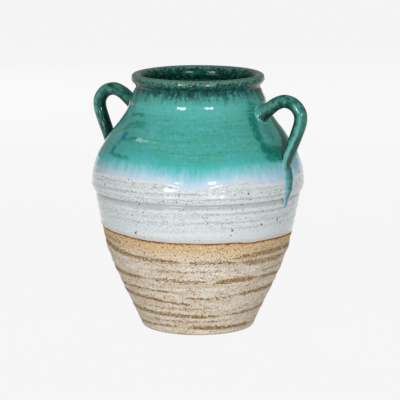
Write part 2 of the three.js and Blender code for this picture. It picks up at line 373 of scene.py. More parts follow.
class GlazeColours(bpy.types.PropertyGroup):
    """Colours of the glazes, and of the shade, light and reflection painted on them."""
    teal: colour("Teal", "Body of the teal glaze", "4aa8a3")
    teal_green: colour("Green teal", "Greener patches of the teal glaze", "49a597")
    teal_pale: colour("Pale teal", "Thin places of the teal glaze", "76c1bb")
    # Pale teal is also the painted highlight line down the handle's strap
    teal_deep: colour("Deep teal", "Thick clear places of the teal glaze", "0c7a68")
    azure: colour("Azure", "Blue dabs in the teal glaze", "007c92")
    # This pale colour is glaze in places and a painted reflection streak on the left shoulder
    pale_glaze_and_reflection: colour("Foam", "Pale strokes in the teal glaze", "a9d4d6")
    sea: colour("Sea", "Where the teal runs out over the blue", "4ab9b4")
    # Sky is also the painted highlight on the handle's toe
    sky: colour("Sky", "Pale blue below the teal", "a8cfe1")
    cloud: colour("Cloud", "Where the pale blue turns into the white", "cad9e8")
    milk: colour("Milk", "White glaze", "d8dee0")
    thin: colour("Thin white", "White glaze worn thin over the clay at its foot", "c2b8a8")
    # Ash is also the painted shade in the throwing lines' hollows and the painted shadow under the belly's
    # edge
    ash: colour("Ash", "Grey mottling of the white glaze", "a9b0ae")
    freckle: colour("Freckle", "Iron specks", "4c4a42")
    # Night is also the painted shade on the handles' inner side and deep inside the mouth
    night: colour("Night", "Dark glaze under the lip and inside", "062b25")
    ink: colour("Ink", "Blue places in the dark glaze", "0c444e")
    moss: colour("Moss", "Lighter specks of the dark glaze", "2a7061")
    mint: colour("Mint", "Crest of the lip", "72a392")
    rust: colour("Rust", "Rusty specks on the lip", "66504a")
    handle: colour("Handle", "Glaze on the handles", "1f6a5d")
    handle_pale: colour("Pale handle", "Lighter places on the handles", "4c9187")
    # This colour is painted light on the strap's lit side, and also the paler root of the right handle
    lit_strap_and_pale_root: colour("Light strap", "Thin glaze down the front of the strap", "5aa598")
    pine: colour("Pine", "Shaded side of the handles", "0f463c")
    brook: colour("Brook", "Glaze run, above", "559f9c")
    haze: colour("Haze", "Glaze run, below", "6b9ca8")
    stream: colour("Stream", "Deep stream in the glaze run", "1d7570")


class ClayColours(bpy.types.PropertyGroup):
    """Colours of the bare clay."""
    sand: colour("Sand", "Body of the bare clay", "d6c6af")
    chalk: colour("Chalk", "Pale wash on the clay", "e4dccf")
    tan: colour("Tan", "Clay below the glaze, flashed in the fire", "d6b684")
    honey: colour("Honey", "Thin brushed oxide", "ae843a")
    oxide: colour("Oxide", "Grains of brown oxide", "8c6424")
    amber: colour("Amber", "Where the oxide lies thick", "c87a0a")
    ember: colour("Ember", "Fine line where the glaze ends", "5c280a")
    grain: colour("Grain", "Dark grains in the clay", "66502e")


class StudioSizes(bpy.types.PropertyGroup):
    """The camera and the light."""
    camera_distance: length("Camera distance", "From the middle of the vase to the camera", 3.0)
    camera_rise: angle_size("Camera rise", "Angle of the camera above the level", 9.99)
    lens: FloatProperty(name="Lens", description="Focal length", default=229.2, unit="CAMERA")
    sensor: FloatProperty(name="Sensor", description="Width of the sensor", default=36.0, unit="CAMERA")
    shift_right: number("Shift right", "Shift of the lens to the right, as a share of the picture", 0.0048)
    shift_up: number("Shift up", "Shift of the lens upwards, as a share of the picture", -0.0022)
    softbox_distance: length("Softbox distance", "From the vase to each softbox", 2.5)
    softbox_width: length("Softbox width", "Width of each softbox", 0.66)
    softbox_height: length("Softbox height", "Height of each softbox", 0.38)
    softbox_power: FloatProperty(
        name="Softbox power", description="Power of each front softbox", default=22.0, unit="POWER")
    left_swing: angle_size("Left swing", "Angle of the left front softbox from the camera", 27.5)
    right_swing: angle_size("Right swing", "Angle of the right front softbox from the camera", 19.0)
    softbox_rise: angle_size("Softbox rise", "Angle of the softboxes above the level", 12.0)
    back_share: number("Back share", "Power of a back softbox to a front one", 0.6)
    surroundings: number("Surroundings", "Even light from all round", 0.28)
    floor_radius: length("Floor radius", "Radius of the floor", 30.0)
    floor_glow: number("Floor glow", "Brightness of the paper itself", 0.94)
    floor_shade: number("Floor shade", "Share of light and shadow on the paper", 0.05)
    paper: colour("Paper", "Colour of the floor", "f6f6f6")


SETTINGS = {
    "vase_throwing": ThrowingSizes,
    "vase_handles": HandleSizes,
    "vase_glazes": GlazeColours,
    "vase_clay": ClayColours,
    "vase_studio": StudioSizes,
}


def smooth_line(points, steps):
    """Points along a smooth curve through the given ones, with the same count of steps between each two."""
    knots = [Vector(p) for p in points]
    line = []
    for i in range(len(knots) - 1):
        before = knots[max(i - 1, 0)]
        after = knots[min(i + 2, len(knots) - 1)]
        start, end = knots[i], knots[i + 1]
        leave = start + (end - before) / 6
        arrive = end - (after - start) / 6
        line += interpolate_bezier(start, leave, arrive, end, steps + 1)[:-1]
    return line + [knots[-1]]


def smoothstep(low, high, value):
    share = np.clip((value - low) / (high - low), 0.0, 1.0)
    return share * share * (3 - 2 * share)


def hump(value, middle, half_width):
    return np.exp(-(((value - middle) / half_width) ** 2))


def drift(angle, seed):
    """Slow waves round the vase, between about -1 and 1, that meet where they began."""
    turn = np.radians(angle)
    slow = 0.5 * np.sin(turn + seed) + 0.3 * np.sin(2 * turn + 2.3 * seed)
    return slow + 0.2 * np.sin(5 * turn + 4.1 * seed)


def wobble(angle, seed):
    """Quick waves round the vase, between about -1 and 1, that meet where they began."""
    turn = np.radians(angle)
    waves = ((0.35, 13), (0.25, 23), (0.22, 37), (0.18, 61))
    return sum(share * np.sin(count * turn + seed * count) for share, count in waves)


class Wall:
    """The outside of a thrown wall: its radius at any height."""

    def __init__(self, outline):
        line = smooth_line([(r * MM, z * MM, 0) for r, z in outline], OUTLINE_STEPS)
        self.heights = np.array([p.y for p in line])
        self.radii = np.array([p.x for p in line])
        self.low = self.heights[0]
        self.high = self.heights[-1]

    def radius(self, height):
        return np.interp(height, self.heights, self.radii)


def line_height(stations, angle):
    """Height of a glaze line at an angle, smooth between its stations and closed round the vase."""
    angles = np.array([a for a, _ in stations], float)
    heights = np.array([h for _, h in stations], float)
    wide_angles = np.concatenate([angles - 360, angles, angles + 360])
    wide_heights = np.tile(heights, 3)
    index = np.clip(np.searchsorted(wide_angles, angle), 1, len(wide_angles) - 1)
    low, high = wide_angles[index - 1], wide_angles[index]
    share = smoothstep(0.0, 1.0, (angle - low) / (high - low))
    return wide_heights[index - 1] * (1 - share) + wide_heights[index] * share


def white_foot(angle):
    return line_height(WHITE_GLAZE_FOOT, angle) + WHITE_RAGGED * wobble(angle, 0.7)


def blue_foot(angle):
    return line_height(BLUE_GLAZE_FOOT, angle) + BLUE_RAGGED * wobble(angle, 1.9)


def teal_foot(angle):
    return line_height(TEAL_GLAZE_FOOT, angle) + TEAL_RAGGED * wobble(angle, 2.2)


def stroke_cover(strokes, angle, height, radius, softness):
    """How strongly brushed strokes, thin and faint at their ends, cover places on the wall."""
    cover = np.zeros(len(angle))
    for strength, half_width, points in strokes:
        spans = [hypot(radians(b[0] - a[0]) * MIDDLE_RADIUS, b[1] - a[1]) for a, b in zip(points, points[1:])]
        passed = 0.0
        for (angle_a, height_a), (angle_b, height_b), span in zip(points, points[1:], spans):
            turned = (angle - angle_a + 180) % 360 - 180
            around = np.radians(turned) * radius
            up = height - height_a
            run = np.radians(angle_b - angle_a) * radius
            rise = height_b - height_a
            share = np.clip((around * run + up * rise) / np.maximum(run * run + rise * rise, 0.01), 0.0, 1.0)
            distance = np.hypot(around - share * run, up - share * rise)
            way = (passed + share * span) / sum(spans)
            full = STROKE_END + (1 - STROKE_END) * smoothstep(0.0, STROKE_TAPER, np.minimum(way, 1 - way))
            reach = half_width * full
            here = smoothstep((1 + softness) * reach, (1 - softness) * reach, distance)
            cover = np.maximum(cover, strength * full * here)
            passed += span
    return cover


def front_angles(x, y):
    """Angle in degrees of places round the axis, from the picture's middle to the right."""
    turn = radians(FRONT_AZIMUTH)
    return np.degrees(np.arctan2(x * cos(turn) + y * sin(turn), x * sin(turn) - y * cos(turn)))


def throwing_lines(angle, height):
    """The fine lines that fingers leave in the turning clay, between about -1 and 1."""
    slide = height - RING_TILT * drift(angle, 0.7) + 0.8 * drift(angle, 5.3)
    lines = np.zeros(len(angle))
    for strength, spacing, wander, seed in FINGER_LINES:
        lines += strength * np.sin(slide * 2 * pi / spacing + wander * drift(angle, seed))
    return lines * (0.75 + 0.5 * drift(angle + 3 * height, 4.4))


def relief(sizes, angle, height):
    """How far the outside stands proud of its even outline, in metres, at a height in millimetres."""
    level = height - RING_TILT * drift(angle, 0.7)
    rings = np.zeros(len(angle))
    for middle, rise, half_width in RIDGES:
        moved = middle + RIDGE_SWAY * drift(angle, middle)
        rings += rise * (1 + 0.5 * drift(angle, 3.1 * middle)) * hump(level, moved, half_width)
    lines = throwing_lines(angle, height)
    above = height - white_foot(angle)
    second = height - blue_foot(angle)
    depth = sizes.clay_lines + (sizes.white_lines - sizes.clay_lines) * smoothstep(*WHITE_FILLING, above)
    depth += (sizes.teal_lines - sizes.white_lines) * smoothstep(*BLUE_FILLING, second)
    coat = sizes.glaze * (smoothstep(*WHITE_EDGE, above) + sizes.glaze_roll * hump(above, *WHITE_ROLL))
    coat += sizes.blue_glaze * (1 + 0.6 * wobble(angle, 3.7)) * hump(second, *BLUE_ROLL)
    hand = sizes.lean * drift(angle + 0.4 * height, 2.9)
    return rings * MM + depth * lines + coat + hand


def spin_profile(profile, columns):
    """A closed turned mesh from a profile of radius and height, which ends on the axis or joins up."""
    bm = bmesh.new()
    verts = [bm.verts.new((r, 0, z)) for r, z in profile]
    for a, b in zip(verts, verts[1:]):
        bm.edges.new((a, b))
    if profile[0][0] > 0:
        bm.edges.new((verts[-1], verts[0]))
    bmesh.ops.spin(bm, geom=bm.verts[:] + bm.edges[:], cent=(0, 0, 0), axis=(0, 0, 1), dvec=(0, 0, 0),
                   angle=2 * pi / SPIN_PARTS, steps=columns, use_merge=False, use_normal_flip=False,
                   use_duplicate=False)
    made = 1
    while made < SPIN_PARTS:
        copies = bmesh.ops.duplicate(bm, geom=bm.verts[:] + bm.edges[:] + bm.faces[:])["geom"]
        moved = [item for item in copies if isinstance(item, bmesh.types.BMVert)]
        turn = Matrix.Rotation(2 * pi * made / SPIN_PARTS, 3, "Z")
        bmesh.ops.rotate(bm, cent=(0, 0, 0), matrix=turn, verts=moved)
        made *= 2
    bmesh.ops.remove_doubles(bm, verts=bm.verts[:], dist=WELD)
    bmesh.ops.recalc_face_normals(bm, faces=bm.faces[:])
    return bm


def places(mesh):
    spots = np.zeros(len(mesh.vertices) * 3)
    mesh.vertices.foreach_get("co", spots)
    return spots.reshape(-1, 3)


def dress_wall(mesh, sizes, wall):
    """Moves the outside of a turned wall by its relief."""
    spots = places(mesh)
    x, y, z = spots.T
    radius = np.hypot(x, y)
    outside = (z > wall.low) & (z < wall.high) & (radius > wall.radius(z) - OUTLINE_SLACK)
    angle = front_angles(x[outside], y[outside])
    height = z[outside]
    ease = smoothstep(0, EDGE_EASE, np.minimum(height - wall.low, wall.high - height))
    grown = 1 + ease * relief(sizes, angle, height / MM) / radius[outside]
    spots[outside, 0] *= grown
    spots[outside, 1] *= grown
    mesh.vertices.foreach_set("co", spots.ravel())


def mark_finish(mesh, inside):
    """Writes each point's place against the glaze lines and strokes, which the wall's shaders follow."""
    x, y, z = places(mesh).T
    radius = np.hypot(x, y)
    angle = front_angles(x, y)
    height = z / MM
    values = {
        "above_white": height - white_foot(angle),
        "above_blue": height - blue_foot(angle),
        "above_teal": height - teal_foot(angle),
        "hollow": -throwing_lines(angle, height),
        "inside": inside(radius, z),
    }
    for name, (strokes, softness) in BRUSHED.items():
        values[name] = stroke_cover(strokes, angle, height, radius / MM, softness)
    for name, numbers in values.items():
        attribute = mesh.attributes.new(name, "FLOAT", "POINT")
        attribute.data.foreach_set("value", numbers.astype(np.float32))


def finish_piece(bm, name, nodes, material):
    """Turns a bmesh into a smooth piece that rides on the vase and stands for its nodes."""
    mesh = bpy.data.meshes.new(name)
    bm.to_mesh(mesh)
    bm.free()
    mesh.shade_smooth()
    piece = bpy.data.objects.new(name, mesh)
    bpy.context.collection.objects.link(piece)
    mesh.materials.append(material)
    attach(piece, BODY)
    if nodes:
        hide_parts(*nodes)
    return piece


class Recipe:
    """Adds shader nodes to one material and joins them."""

    def __init__(self, name):
        self.material = bpy.data.materials.new(name)
        self.material.use_nodes = True
        self.tree = self.material.node_tree
        self.tree.nodes.clear()

    def join(self, value, socket):
        if isinstance(value, bpy.types.NodeSocket):
            self.tree.links.new(value, socket)
        elif socket.type == "RGBA" and len(value) == 3:
            socket.default_value = (*value, 1.0)
        else:
            socket.default_value = value

    def node(self, kind, inputs, **settings):
        node = self.tree.nodes.new("ShaderNode" + kind)
        for key, value in settings.items():
            setattr(node, key, value)
        for key, value in inputs.items():
            self.join(value, node.inputs[key])
        return node

    def math(self, operation, *values):
        return self.node("Math", dict(enumerate(values)), operation=operation).outputs[0]

    def add(self, *values):
        total = values[0]
        for value in values[1:]:
            total = self.math("ADD", total, value)
        return total

    def times(self, *values):
        total = values[0]
        for value in values[1:]:
            total = self.math("MULTIPLY", total, value)
        return total

    def swing(self, value, reach):
        """Turns noise from 0 to 1 into a swing of the given reach to both sides of 0."""
        return self.math("MULTIPLY_ADD", value, 2.0 * reach, -reach)

    def step(self, value, low, high, start=0.0, end=1.0):
        """Goes smoothly from start to end as the value goes from low to high."""
        inputs = {"Value": value, "From Min": low, "From Max": high, "To Min": start, "To Max": end}
        return self.node("MapRange", inputs, interpolation_type="SMOOTHSTEP").outputs["Result"]

    def mix(self, share, below, above):
        node = self.node("Mix", {0: share, 6: below, 7: above}, data_type="RGBA")
        return node.outputs[2]

    def attribute(self, name):
        return self.node("Attribute", {}, attribute_name=name).outputs["Fac"]

    def place(self, stretch=(1.0, 1.0, 1.0)):
        """Object coordinates in millimetres, with X to the picture's right and Y away from it."""
        inputs = {
            "Vector": self.node("TexCoord", {}).outputs["Object"],
            "Rotation": (0.0, 0.0, -radians(FRONT_AZIMUTH)),
            "Scale": tuple(s / MM for s in stretch),
        }
        return self.node("Mapping", inputs).outputs[0]

    def noise(self, place, size, detail=2.0, roughness=0.5):
        """Smooth noise from 0 to 1 with features of about the given size in millimetres."""
        inputs = {"Vector": place, "Scale": 1.0 / size, "Detail": detail, "Roughness": roughness}
        return self.node("TexNoise", inputs).outputs["Fac"]

    def specks(self, place, spacing, radius, share):
        """Round specks of up to one radius, in a share of the cells of a spaced pattern."""
        cells = self.node("TexVoronoi", {"Vector": place, "Scale": 1.0 / spacing})
        luck = self.node("SeparateColor", {"Color": cells.outputs["Color"]}).outputs
        reach = self.times(luck["Green"], radius / spacing)
        past = self.math("SUBTRACT", cells.outputs["Distance"], reach)
        spot = self.step(past, 0.35 * radius / spacing, 0.0)
        return self.times(spot, self.math("LESS_THAN", luck["Red"], share))

    def broken(self, name, noise, reach):
        """A brushed stroke's cover, broken up by noise inside the stroke."""
        return self.times(self.attribute(name), self.add(1.0, self.swing(noise, reach)))

    def finish(self, colour, roughness, height, shine=0.28):
        """Ends the recipe in one surface shader, with a relief given in millimetres."""
        bump = self.node("Bump", {"Height": height, "Distance": MM, "Strength": 1.0})
        inputs = {"Base Color": colour, "Roughness": roughness, "Normal": bump.outputs[0]}
        inputs["Specular IOR Level"] = shine
        surface = self.node("BsdfPrincipled", inputs)
        output = self.node("OutputMaterial", {})
        self.tree.links.new(surface.outputs[0], output.inputs["Surface"])
        return self.material


def bare_clay(recipe, clay, above_white):
    """Colour and relief of the unglazed clay, with its grains, its flashing and its brushed oxide."""
    place = recipe.place()
    coarse = recipe.noise(place, 1.9, detail=1.0)
    fine = recipe.noise(place, 1.2, detail=1.0)
    patches = recipe.noise(recipe.place(stretch=(0.22, 0.22, 1.0)), 6.0, detail=3.0, roughness=0.6)
    drag = recipe.noise(recipe.place(stretch=(0.25, 0.25, 1.0)), 2.2, detail=3.0, roughness=0.65)
    oxide = recipe.attribute("oxide")

    base = recipe.mix(recipe.step(patches, 0.40, 0.60), clay.sand, clay.chalk)
    flashed = recipe.add(above_white, recipe.swing(patches, 16.0))
    base = recipe.mix(recipe.step(flashed, -27.0, -5.0, 0.0, 0.95), base, clay.tan)

    brushed = recipe.times(oxide, recipe.add(1.2, recipe.swing(drag, 1.8), recipe.swing(coarse, 2.2)))
    base = recipe.mix(recipe.step(brushed, 0.20, 0.95, 0.0, 0.92), base, clay.honey)

    dusted = recipe.times(recipe.math("MINIMUM", oxide, 0.9), 0.15)
    base = recipe.mix(recipe.step(recipe.add(coarse, dusted), 0.58, 0.67, 0.0, 0.85), base, clay.oxide)
    base = recipe.mix(recipe.step(brushed, 1.35, 2.10, 0.0, 0.95), base, clay.amber)
    base = recipe.mix(recipe.step(recipe.add(fine, dusted), 0.60, 0.69, 0.0, 0.85), base, clay.grain)
    base = recipe.mix(recipe.step(fine, 0.43, 0.34, 0.0, 0.85), base, clay.chalk)

    edge = recipe.add(above_white, recipe.swing(fine, 2.4), recipe.swing(coarse, 2.0))
    base = recipe.mix(recipe.step(edge, -5.0, -1.2, 0.0, 0.60), base, clay.amber)
    base = recipe.mix(recipe.step(edge, -2.4, -1.0, 0.0, 0.95), base, clay.ember)
    return base, recipe.add(recipe.times(coarse, 0.7), recipe.times(fine, 0.5))


def white_glaze(recipe, glaze, above_white, place, height, grain):
    """Milky glaze, mottled grey, with grey in the throwing lines' hollows that is partly pooled glaze and
    partly painted shade, a painted shadow under the belly's edge at the seam, and iron flecks.
    """
    turned = recipe.noise(recipe.place(stretch=(0.30, 0.30, 1.0)), 3.0, detail=3.0, roughness=0.65)
    mottle = recipe.add(recipe.times(turned, 0.30), recipe.times(grain, 0.70))
    # Grey in the hollows of the throwing lines: partly pooled glaze, partly painted shade of the rings
    mottle = recipe.add(mottle, recipe.times(recipe.attribute("hollow"), 0.09))
    thick = recipe.step(above_white, 8.0, 24.0, 0.40, 1.0)
    milk = recipe.mix(recipe.times(recipe.step(mottle, 0.44, 0.64), thick), glaze.milk, glaze.ash)
    milk = recipe.mix(recipe.step(above_white, 7.0, 1.0, 0.0, 0.55), milk, glaze.thin)
    # Painted shadow under the belly's overhanging edge at the seam: a grey band of ash
    seam = recipe.times(recipe.step(height, 165.5, 161.5), recipe.step(height, 156.0, 161.0))
    milk = recipe.mix(recipe.times(seam, 0.75), milk, glaze.ash)
    large = recipe.specks(place, 9.0, 1.3, 0.45)
    small = recipe.specks(place, 4.5, 0.8, 0.45)
    return recipe.mix(recipe.times(recipe.math("MAXIMUM", large, small), 0.9), milk, glaze.freckle)


def glazed(recipe, glaze, above_white):
    """Colour and relief of all the glazes, from the white up to the dark lip and the inside, with painted
    shade, shadow and reflection among them.
    """
    place = recipe.place()
    height = recipe.node("SeparateXYZ", {"Vector": place}).outputs["Z"]
    grain = recipe.noise(place, 1.7, detail=3.0, roughness=0.7)
    clouds = recipe.noise(place, 17.0, detail=3.0)
    blots = recipe.noise(place, 4.5, detail=3.0, roughness=0.6)
    turned = recipe.noise(recipe.place(stretch=(0.05, 0.05, 1.0)), 2.6, detail=3.0, roughness=0.6)
    strands = recipe.noise(recipe.place(stretch=(1.0, 1.0, 0.06)), 2.6, detail=1.0)
    curtains = recipe.noise(recipe.place(stretch=(1.0, 1.0, 0.10)), 7.0, detail=1.0)

    base = white_glaze(recipe, glaze, above_white, place, height, grain)
    rising = recipe.add(recipe.attribute("above_blue"), recipe.swing(grain, 2.5))
    base = recipe.mix(recipe.step(rising, -1.2, 1.6, 0.0, 0.8), base, glaze.cloud)
    hanging = recipe.add(rising, recipe.swing(curtains, 6.0))
    base = recipe.mix(recipe.step(hanging, 0.5, 12.0), base, glaze.sky)
    runs = recipe.add(recipe.attribute("above_teal"), recipe.swing(strands, 4.2), recipe.swing(curtains, 4.5))
    base = recipe.mix(recipe.step(runs, -13.0, 8.0), base, glaze.sea)

    teal = recipe.mix(recipe.step(clouds, 0.40, 0.60), glaze.teal, glaze.teal_green)
    thin = recipe.add(recipe.times(turned, 0.40), recipe.times(strands, 0.30), recipe.times(blots, 0.30))
    teal = recipe.mix(recipe.step(thin, 0.48, 0.66, 0.0, 0.40), teal, glaze.teal_pale)
    teal = recipe.mix(recipe.step(thin, 0.47, 0.36, 0.0, 0.38), teal, glaze.teal_deep)
    teal = recipe.mix(recipe.step(height, 246.0, 268.0, 0.0, 0.20), teal, glaze.teal_pale)
    base = recipe.mix(recipe.step(runs, 0.0, 17.0), base, teal)

    brush = recipe.noise(recipe.place(stretch=(0.45, 0.45, 1.2)), 3.2, detail=4.0, roughness=0.7)
    deep = recipe.broken("deep", brush, 1.5)
    deep_glaze_and_shadow = recipe.broken("deep", brush, 0.4)
    azure = recipe.broken("azure", brush, 1.4)
    pale = recipe.broken("pale", brush, 1.4)
    base = recipe.mix(recipe.step(deep, 0.10, 0.95, 0.0, 0.85), base, glaze.teal_deep)
    # Pine where the deep strokes are strongest: thickest glaze, and the painted shadow of the right handle
    base = recipe.mix(recipe.step(deep_glaze_and_shadow, 0.8, 1.8, 0.0, 0.85), base, glaze.pine)
    base = recipe.mix(recipe.step(azure, 0.05, 1.1, 0.0, 0.95), base, glaze.azure)
    # Pale strokes: glaze, and a painted reflection streak across the left shoulder
    base = recipe.mix(recipe.step(pale, 0.15, 0.9, 0.0, 0.7), base, glaze.pale_glaze_and_reflection)

    spotted = recipe.add(recipe.times(blots, 0.55), recipe.times(grain, 0.45))
    drips = recipe.add(height, recipe.swing(strands, 8.0), recipe.swing(curtains, 6.0))
    drips = recipe.add(drips, recipe.swing(spotted, 16.0))
    dark = recipe.mix(recipe.step(clouds, 0.52, 0.64), glaze.night, glaze.ink)
    dark = recipe.mix(recipe.step(spotted, 0.50, 0.60, 0.0, 0.65), dark, glaze.moss)
    base = recipe.mix(recipe.step(drips, 270.0, 287.0, 0.0, 0.97), base, dark)
    lip = recipe.mix(recipe.step(spotted, 0.40, 0.52), glaze.night, glaze.moss)
    lip = recipe.mix(recipe.step(blots, 0.55, 0.66, 0.0, 0.65), lip, glaze.rust)
    crest = recipe.add(height, recipe.swing(blots, 5.0), recipe.swing(grain, 4.0))
    lip = recipe.mix(recipe.step(crest, 292.5, 298.0, 0.0, 0.75), lip, glaze.mint)
    lip = recipe.mix(recipe.step(grain, 0.50, 0.40, 0.0, 0.70), lip, glaze.night)
    base = recipe.mix(recipe.step(crest, 288.5, 294.0, 0.0, 0.85), base, lip)

    well = recipe.mix(recipe.step(spotted, 0.48, 0.62, 0.0, 0.6), glaze.night, glaze.moss)
    # Painted shade inside the mouth: dark deep down, lightened with moss and mint towards the lip
    well = recipe.mix(recipe.step(crest, 288.0, 298.0, 0.0, 0.5), well, glaze.moss)
    well = recipe.mix(recipe.step(crest, 296.5, 300.0, 0.0, 0.7), well, glaze.mint)
    well = recipe.mix(recipe.step(spotted, 0.51, 0.43, 0.0, 0.9), well, glaze.night)
    base = recipe.mix(recipe.attribute("inside"), base, well)
    swell = recipe.times(recipe.noise(place, 9.0, detail=1.0), 0.20)
    return base, recipe.add(swell, recipe.times(turned, 0.04))


def ware_material(name, scene, shine=0.28):
    """The thrown walls: bare clay below, glazes above."""
    recipe = Recipe(name)
    above_white = recipe.attribute("above_white")
    inside = recipe.attribute("inside")
    clay_colour, clay_height = bare_clay(recipe, scene.vase_clay, above_white)
    glaze_colour, glaze_height = glazed(recipe, scene.vase_glazes, above_white)
    coated = recipe.math("MAXIMUM", recipe.step(above_white, -0.5, 0.2), inside)
    bare = recipe.math("SUBTRACT", 1.0, coated)
    height = recipe.add(recipe.times(clay_height, bare), recipe.times(glaze_height, coated))
    level = recipe.node("SeparateXYZ", {"Vector": recipe.place()}).outputs["Z"]
    pooled = recipe.times(recipe.step(level, 284.0, 287.0), recipe.step(level, 293.0, 290.0))
    roughness = recipe.add(recipe.step(coated, 0.0, 1.0, 0.9, 0.08), recipe.times(pooled, 0.10))
    return recipe.finish(recipe.mix(coated, clay_colour, glaze_colour), roughness, height, shine)


def handle_material(name, scene):
    """The handles: dark teal glaze, mottled on top, with painted shade inside the bend and on the strap's
    outer face, and painted light and highlights down the strap's lit side.
    """
    glaze = scene.vase_glazes
    recipe = Recipe(name)
    place = recipe.place()
    grain = recipe.noise(place, 1.7, detail=3.0, roughness=0.7)
    clouds = recipe.noise(place, 8.0, detail=3.0)
    facing = recipe.attribute("facing")
    along = recipe.attribute("along")
    side = recipe.add(recipe.attribute("side"), recipe.swing(clouds, 0.45))
    base = recipe.mix(recipe.step(clouds, 0.36, 0.60, 0.0, 0.75), glaze.handle, glaze.handle_pale)

    lower = recipe.step(along, 62.0, 104.0)
    flank = recipe.add(facing, recipe.swing(clouds, 0.28))
    # Painted light: the lower strap's side that faces the lamps is lightened
    lit = recipe.times(recipe.step(side, -0.35, -0.80), recipe.step(flank, -0.55, -0.25), lower)
    base = recipe.mix(recipe.times(lit, 0.70), base, glaze.lit_strap_and_pale_root)
    # Painted shade: the strap's outer face and right side are darkened to pine
    thick = recipe.times(recipe.step(flank, 0.36, 0.76), recipe.step(side, 0.9, 0.4), lower)
    base = recipe.mix(recipe.times(thick, 0.92), base, glaze.pine)
    # Painted highlight: a pale teal line down the strap
    painted_highlight_line = recipe.times(recipe.step(flank, 0.16, 0.34), recipe.step(flank, 0.58, 0.38))
    base = recipe.mix(recipe.times(painted_highlight_line, recipe.step(along, 50.0, 64.0, 0.0, 0.4)), base, glaze.teal_pale)
    to_right = recipe.node("SeparateXYZ", {"Vector": place}).outputs["X"]
    root = recipe.times(recipe.step(along, 24.0, 9.0, 0.0, 0.75), recipe.step(to_right, -10.0, 10.0))
    base = recipe.mix(root, base, glaze.lit_strap_and_pale_root)

    # Painted shade on the inner side of each handle, which faces the neck: pine, then night
    hollow = recipe.add(facing, recipe.swing(clouds, 0.6))
    base = recipe.mix(recipe.step(hollow, 0.15, -0.40, 0.0, 0.90), base, glaze.pine)
    base = recipe.mix(recipe.step(hollow, -0.40, -0.90, 0.0, 0.92), base, glaze.night)
    upper = recipe.times(recipe.step(along, 68.0, 44.0), recipe.step(along, 12.0, 26.0))
    mottle = recipe.add(recipe.times(grain, 0.6), recipe.times(clouds, 0.4))
    base = recipe.mix(recipe.times(recipe.step(mottle, 0.48, 0.40, 0.0, 0.85), upper), base, glaze.night)
    base = recipe.mix(recipe.times(recipe.step(mottle, 0.53, 0.62, 0.0, 0.6), upper), base, glaze.mint)
    base = recipe.mix(recipe.times(recipe.step(clouds, 0.56, 0.66, 0.0, 0.25), upper), base, glaze.rust)
    # Painted highlight: a pale sky streak on the lit edge of the strap's toe
    painted_toe_highlight = recipe.times(recipe.step(along, 110.0, 120.0), recipe.step(flank, 0.10, -0.25))
    base = recipe.mix(recipe.times(painted_toe_highlight, recipe.step(side, -0.4, -0.7, 0.0, 0.85)), base, glaze.sky)
    swell = recipe.times(recipe.noise(place, 9.0, detail=1.0), 0.04)
    return recipe.finish(base, 0.10, swell)


def joint_material(name, scene):
    """The clay pressed round the upper joint, where the glaze breaks pale on the right handle."""
    glaze = scene.vase_glazes
    recipe = Recipe(name)
    place = recipe.place()
    clouds = recipe.noise(place, 6.0, detail=2.0)
    to_right = recipe.node("SeparateXYZ", {"Vector": place}).outputs["X"]
    dark = recipe.mix(recipe.step(clouds, 0.40, 0.60), glaze.pine, glaze.handle)
    pale = recipe.mix(recipe.step(clouds, 0.30, 0.50, 0.25, 0.85), glaze.teal_deep, glaze.teal_pale)
    base = recipe.mix(recipe.step(to_right, -10.0, 10.0), dark, pale)
    return recipe.finish(base, 0.90, recipe.times(clouds, 0.2), shine=0.05)


def run_material(name, scene):
    """Glaze that ran down from the handle, with a deep stream between paler and bluer sides."""
    glaze = scene.vase_glazes
    recipe = Recipe(name)
    place = recipe.place()
    height = recipe.node("SeparateXYZ", {"Vector": place}).outputs["Z"]
    blots = recipe.noise(recipe.place(stretch=(1.0, 1.0, 0.25)), 2.5, detail=2.0)
    across = recipe.add(recipe.attribute("across"), recipe.swing(blots, 0.35))
    base = recipe.mix(recipe.step(height, 195.0, 168.0), glaze.brook, glaze.haze)
    base = recipe.mix(recipe.step(across, -0.55, -1.0, 0.0, 0.75), base, glaze.sky)
    stream = recipe.times(recipe.step(across, -0.45, -0.10), recipe.step(across, 0.40, 0.05))
    stream = recipe.times(stream, recipe.step(height, 158.0, 166.0, 0.0, 0.85))
    base = recipe.mix(stream, base, glaze.stream)
    base = recipe.mix(recipe.step(across, 0.05, 0.50, 0.0, 0.9), base, glaze.sky)
    return recipe.finish(base, 0.10, recipe.times(blots, 0.2))


def inner_line(wall, thickness, low, high, step):
    """Points down the inside of a wall, a wall's thickness in from its outline."""
    count = max(2, round((high - low) / step))
    return [(wall.radius(z) - thickness, z) for z in np.linspace(high, low, count)]


